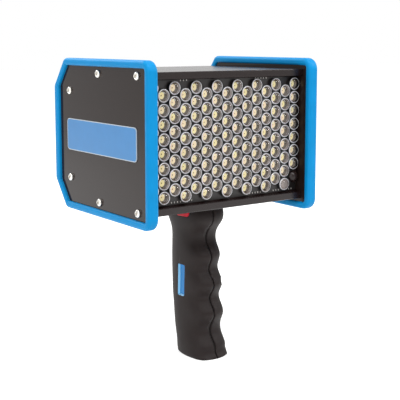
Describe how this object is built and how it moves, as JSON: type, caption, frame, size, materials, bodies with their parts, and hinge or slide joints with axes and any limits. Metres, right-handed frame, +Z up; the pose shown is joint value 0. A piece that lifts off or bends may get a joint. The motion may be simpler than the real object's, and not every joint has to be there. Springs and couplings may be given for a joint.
{
  "type": "stroboscope",
  "caption": "Hand-held stroboscope: black boxy head with a front array of clear-lensed white LEDs, blue rubber bumpers at both ends, and a black pistol handle with finger grooves.",
  "frame": {"origin": "centre of the threaded bush's mouth in the flat base of the handle", "axes": "+Z up through the handle to the head, -Y the way the lamps shine, -X the side with the label"},
  "size_m": [0.15, 0.135, 0.2226],
  "materials": {
    "housing_black": "black anodised aluminium extrusion, fine bead-blasted satin",
    "plate_black": "black anodised aluminium plate, satin",
    "bumper_blue": "moulded blue rubber, satin",
    "stainless": "stainless steel screws, turned and polished",
    "label_blue": "printed polyester film, plain blue with a pale border",
    "board_black": "black solder mask on glass-fibre board",
    "board_green": "green solder mask on glass-fibre board",
    "lens_clear": "clear epoxy lamp lens over a yellow phosphor chip",
    "lens_dark": "dark infrared-pass epoxy lens",
    "zinc_steel": "zinc-plated steel",
    "component_dark": "moulded electronic components",
    "panel_black": "black moulded panel",
    "window_clear": "clear display window",
    "display_dark": "liquid crystal display glass, switched off",
    "key_grey": "grey silicone keys",
    "knob_black": "black moulded knob",
    "socket_black": "black moulded sockets",
    "handle_black": "black moulded handle, fine spark-eroded texture",
    "inlay_blue": "blue moulded inlay",
    "button_red": "red moulded button",
    "brass": "brass threaded bush",
    "cell_green": "sleeved rechargeable cells",
    "nickel": "nickel strip"
  },
  "bodies": {
    "lamp": {"housing_extrusion": "housing_black", "side_plate_left": "plate_black", "side_plate_right": "plate_black", "bumper_left": "bumper_blue", "bumper_right": "bumper_blue", "side_screws_left": "stainless", "side_screws_right": "stainless", "side_label": "label_blue", "led_board": "board_black", "led_lenses": "lens_clear", "light_sensor_clear": "lens_clear", "light_sensor_dark": "lens_dark", "board_spacers": "zinc_steel", "driver_board": "board_green", "driver_capacitors": "component_dark", "driver_coils": "component_dark", "control_board": "board_green", "control_posts": "zinc_steel", "key_switches": "component_dark", "rear_panel": "panel_black", "rear_panel_screws": "zinc_steel", "display_window": "window_clear", "display_module": "display_dark", "encoder_body": "component_dark", "charge_socket": "socket_black", "sync_in_socket": "socket_black", "sync_out_socket": "socket_black", "handle_shell_left": "handle_black", "handle_shell_right": "handle_black", "handle_shell_screws": "zinc_steel", "handle_inlay": "inlay_blue", "handle_mount_plate": "zinc_steel", "handle_mount_screws": "zinc_steel", "tripod_bush": "brass", "trigger_switch": "component_dark", "battery_cells": "cell_green", "cell_links": "nickel"},
    "trigger": {"trigger_button": "button_red"},
    "power_key": {"key_power": "key_grey"},
    "up_key": {"key_up": "key_grey"},
    "down_key": {"key_down": "key_grey"},
    "mode_key": {"key_mode": "key_grey"},
    "selector": {"encoder_shaft": "zinc_steel", "selector_knob": "knob_black"}
  },
  "joints": [
    {"name": "trigger_press", "type": "slide", "parent": "lamp", "child": "trigger", "axis": [0.9848, 0.1736, 0], "range_m": [0, 0.0015], "stiffness_N_per_m": 1500},
    {"name": "power_key_press", "type": "slide", "parent": "lamp", "child": "power_key", "axis": [0, -1, 0], "range_m": [0, 0.0008], "stiffness_N_per_m": 1500},
    {"name": "up_key_press", "type": "slide", "parent": "lamp", "child": "up_key", "axis": [0, -1, 0], "range_m": [0, 0.0008], "stiffness_N_per_m": 1500},
    {"name": "down_key_press", "type": "slide", "parent": "lamp", "child": "down_key", "axis": [0, -1, 0], "range_m": [0, 0.0008], "stiffness_N_per_m": 1500},
    {"name": "mode_key_press", "type": "slide", "parent": "lamp", "child": "mode_key", "axis": [0, -1, 0], "range_m": [0, 0.0008], "stiffness_N_per_m": 1500},
    {"name": "selector_turn", "type": "hinge", "parent": "lamp", "child": "selector", "pos_m": [-0.05, 0.08205, 0.1676], "axis": [0, 1, 0], "continuous": true}
  ]
}
